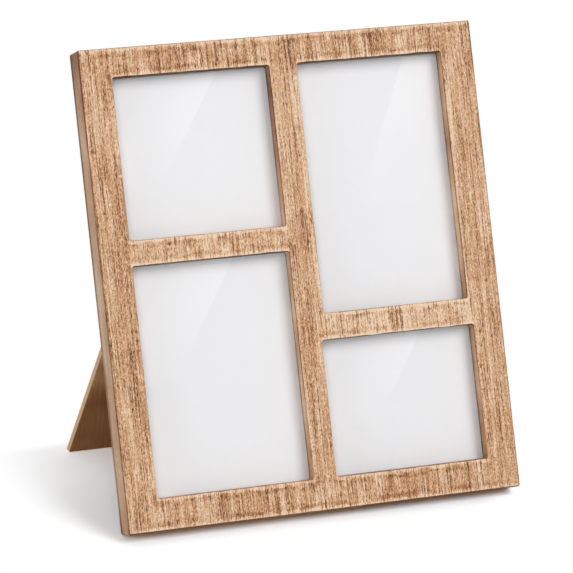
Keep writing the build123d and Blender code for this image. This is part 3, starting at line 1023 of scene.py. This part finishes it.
def buildFloor():
    half = studio["floorSize"] / 2
    mesh = bpy.data.meshes.new("floor")
    corners = [(-half, -half, 0), (half, -half, 0), (half, half, 0), (-half, half, 0)]
    mesh.from_pydata(corners, [], [(0, 1, 2, 3)])
    material, tree = newMaterial("matt white paper sweep")
    seen = raysSeen(tree)
    place = addNode(tree, "ShaderNodeTexCoord").outputs["Object"]
    axes = addNode(tree, "ShaderNodeSeparateXYZ", {0: place}).outputs
    # painted shadow: before the object the floor is seen darker, but not on the key lamp's side
    slope = studio["litSlope"]
    litSide = weightedSum(tree, -slope * halfWidth, (axes["X"], slope))
    litSide = addNode(tree, "ShaderNodeMath", {0: litSide, 1: axes["Y"]}, operation="MAXIMUM")
    shown = addNode(tree, "ShaderNodeMapRange", {
        "Value": litSide, "From Min": studio["beforeFrom"], "From Max": studio["beforeTo"],
        "To Min": studio["floorBefore"], "To Max": studio["floorSeen"]})
    level = addNode(tree, "ShaderNodeMapRange", {
        "Value": seen, "To Min": studio["floorGives"], "To Max": shown})

    # painted warm bounce light, close to the line that the board stands on
    near, far = studio["bounceReach"]
    stand = min(nodes["frame_body"].data.vertices, key=lambda vert: vert.co.z).co.y
    under = addNode(tree, "ShaderNodeVectorMath", {0: place, 1: (0, stand, 0)}, operation="SUBTRACT")
    under = addNode(tree, "ShaderNodeVectorMath", {0: under}, operation="ABSOLUTE")
    under = addNode(tree, "ShaderNodeMapRange", {
        "Value": farOutside(tree, under, (halfWidth - far, 0, 0)), "From Min": near, "From Max": far,
        "To Min": 1.0, "To Max": 0.0}, interpolation_type="SMOOTHSTEP")
    tint = addNode(tree, "ShaderNodeMix", {
        "Factor": under, 4: studio["floorTint"], 5: studio["bounceTint"]}, data_type="VECTOR")
    tinted = addNode(tree, "ShaderNodeVectorMath", {0: tint, 1: level}, operation="MULTIPLY")
    diffuse = addNode(tree, "ShaderNodeBsdfDiffuse", {"Color": tinted})

    # distance outside the object's outline, as a share of the shadow's reach
    beside = addNode(tree, "ShaderNodeMath", {0: axes["X"]}, operation="ABSOLUTE")
    beside = weightedSum(tree, beside, (axes["Y"], studio["shadowSlant"]))
    behind = addNode(tree, "ShaderNodeMath", {0: axes["Y"]}, operation="ABSOLUTE")
    away = farOutside(tree, addNode(tree, "ShaderNodeCombineXYZ", {0: beside, 1: behind}),
                      (halfWidth, halfDepth, 0), (1 / studio["shadowBeside"], 1 / studio["shadowBehind"], 0))
    clear = addNode(tree, "ShaderNodeMapRange", {"Value": away}, interpolation_type="SMOOTHSTEP")
    white = addNode(tree, "ShaderNodeMath", {0: clear, 1: seen}, operation="MULTIPLY")
    # beyond that reach the floor glows plain white for the camera, painted over the object's shadow
    glow = addNode(tree, "ShaderNodeEmission", {"Strength": 1.0})
    mixed = addNode(tree, "ShaderNodeMixShader", {0: white, 1: diffuse, 2: glow})
    addNode(tree, "ShaderNodeOutputMaterial", {"Surface": mixed})
    mesh.materials.append(material)
    linkObject("floor", mesh)


def buildLamps():
    for name, lamp in studio["lamps"].items():
        data = bpy.data.lights.new(name, "AREA")
        data.shape = "DISK"
        data.size = lamp["size"]
        data.energy = lamp["power"]
        light = linkObject(name, data)
        light.location = lamp["place"]
        aim = Vector(studio["lampTarget"]) - light.location
        light.rotation_euler = aim.to_track_quat("-Z", "Y").to_euler()
    world = bpy.data.worlds.new("studio")
    world.use_nodes = True
    tree = world.node_tree
    tree.nodes.clear()
    strength = addNode(tree, "ShaderNodeMapRange", {
        "Value": raysSeen(tree), "To Min": studio["worldStrength"], "To Max": 1.0})
    sky = addNode(tree, "ShaderNodeBackground", {"Strength": strength})
    addNode(tree, "ShaderNodeOutputWorld", {"Surface": sky})
    bpy.context.scene.world = world


screens = {
    # the sharp edge of each reflection, in the photograph's pixels, and how far it fades across
    "edges": {
        "upper_left": {"top": (213, 78), "foot": (155, 200), "fade": -60},
        "lower_left": {"top": (230, 264), "foot": (175, 385), "fade": -60},
        "upper_right": {"top": (401, 62), "foot": (360, 205), "fade": 60},
        "lower_right": {"top": (418, 336), "foot": (378, 425), "fade": -60},
    },
    "distance": 1.4,
    "overTop": 0.15,            # how far a screen runs on past the window's top edge
    "glow": 1.1,                # above the white that the panes mirror elsewhere
}


def mirrorPoint(eye, pixel, pane):
    # where the ray through a pixel goes after the front of a pane
    focal = camera["lens"] / camera["sensor"] * camera["pixels"]
    middle = camera["pixels"] / 2
    turn = eye.rotation_euler.to_matrix()
    ray = turn @ Vector((pixel[0] - middle, middle - pixel[1], -focal)).normalized()
    onPane = faceOut * reachAlong(pane, faceOut)
    hit = intersect_line_plane(eye.location, eye.location + ray, onPane, faceOut)
    return hit + ray.reflect(faceOut) * screens["distance"]


def screenGlow():
    material, tree = newMaterial("light screen, graded")
    place = addNode(tree, "ShaderNodeUVMap", uv_map="grade")
    grade = addNode(tree, "ShaderNodeSeparateXYZ", {0: place}).outputs
    share = screens["glow"]
    for axis in ("X", "Y"):
        side = addNode(tree, "ShaderNodeMapRange", {"Value": grade[axis]}, interpolation_type="SMOOTHSTEP")
        share = addNode(tree, "ShaderNodeMath", {0: share, 1: side}, operation="MULTIPLY")
    strength = addNode(tree, "ShaderNodeMath", {0: share, 1: 1.0}, operation="ADD")
    glow = addNode(tree, "ShaderNodeEmission", {"Strength": strength})
    addNode(tree, "ShaderNodeOutputMaterial", {"Surface": glow})
    return material


def buildScreens(eye):
    finish = screenGlow()
    for name, edge in screens["edges"].items():
        top, foot = Vector(edge["top"]), Vector(edge["foot"])
        top += (top - foot) * screens["overTop"]
        away = Vector((edge["fade"], 0))
        corners = [mirrorPoint(eye, pixel, "glass_" + name)
                   for pixel in (top, foot, foot + away, top + away)]
        mesh = bpy.data.meshes.new("screen_" + name)
        mesh.from_pydata(corners, [], [(0, 1, 2, 3)])
        grade = mesh.uv_layers.new(name="grade")
        for loop, place in zip(grade.data, ((1, 1), (1, 0), (0, 0), (0, 1))):
            loop.uv = place
        mesh.materials.append(finish)
        screen = linkObject("screen_" + name, mesh)
        for ray in ("camera", "diffuse", "transmission", "shadow"):     # only reflections show it
            setattr(screen, "visible_" + ray, False)


eye = placeCamera()
buildFloor()
buildLamps()
buildScreens(eye)
bpy.context.scene.view_settings.view_transform = "Standard"
print("studio:", len(studio["lamps"]), "lamps,", len(screens["edges"]), "screens")
